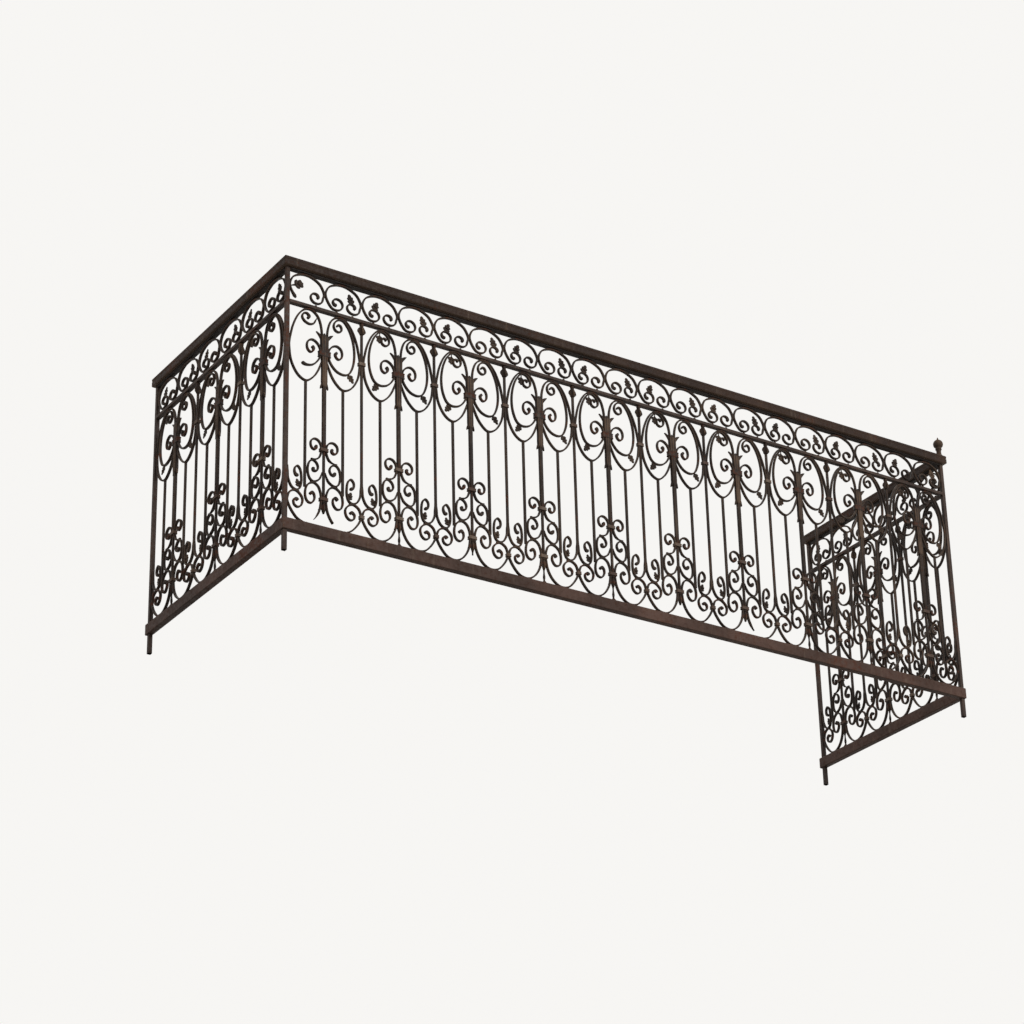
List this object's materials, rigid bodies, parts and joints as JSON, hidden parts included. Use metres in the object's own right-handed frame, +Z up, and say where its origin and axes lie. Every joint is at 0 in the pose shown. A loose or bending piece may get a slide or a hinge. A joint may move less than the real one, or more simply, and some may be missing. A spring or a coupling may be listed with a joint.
{
  "type": "iron balcony railing",
  "caption": "Wrought-iron balcony railing with a long front and two returns, a frieze of scrolls under the handrail, oval scrolls between the bars and bowl-shaped scrolls at the foot.",
  "frame": {"origin": "on the floor, under the middle of the railing's plan", "axes": "+X along the front to the right as seen from the street, +Y from the front to the wall, +Z up"},
  "size_m": [2.9385, 1.0155, 1.185],
  "materials": {
    "rail_paint": "satin",
    "iron_paint": "satin",
    "worn_paint": "matte"
  },
  "bodies": {
    "root": {"front_handrail": "rail_paint", "left_handrail": "rail_paint", "right_handrail": "rail_paint", "front_frieze_rail": "iron_paint", "left_frieze_rail": "iron_paint", "right_frieze_rail": "iron_paint", "front_bottom_rail": "rail_paint", "left_bottom_rail": "rail_paint", "right_bottom_rail": "rail_paint", "front_left_post": "rail_paint", "front_right_post": "rail_paint", "left_wall_post": "rail_paint", "right_wall_post": "rail_paint", "ball_finial": "iron_paint", "front_frieze_scrolls": "iron_paint", "left_frieze_scrolls": "iron_paint", "right_frieze_scrolls": "iron_paint", "front_king_bars": "iron_paint", "left_king_bars": "iron_paint", "right_king_bars": "iron_paint", "front_sheaths": "iron_paint", "left_sheaths": "iron_paint", "right_sheaths": "iron_paint", "front_plain_bars": "iron_paint", "left_plain_bars": "iron_paint", "right_plain_bars": "iron_paint", "front_oval_scrolls": "iron_paint", "left_oval_scrolls": "iron_paint", "right_oval_scrolls": "iron_paint", "front_hung_bars": "iron_paint", "left_hung_bars": "iron_paint", "right_hung_bars": "iron_paint", "front_base_scrolls": "iron_paint", "left_base_scrolls": "iron_paint", "right_base_scrolls": "iron_paint", "front_collars": "worn_paint", "left_collars": "worn_paint", "right_collars": "worn_paint"}
  },
  "joints": []
}
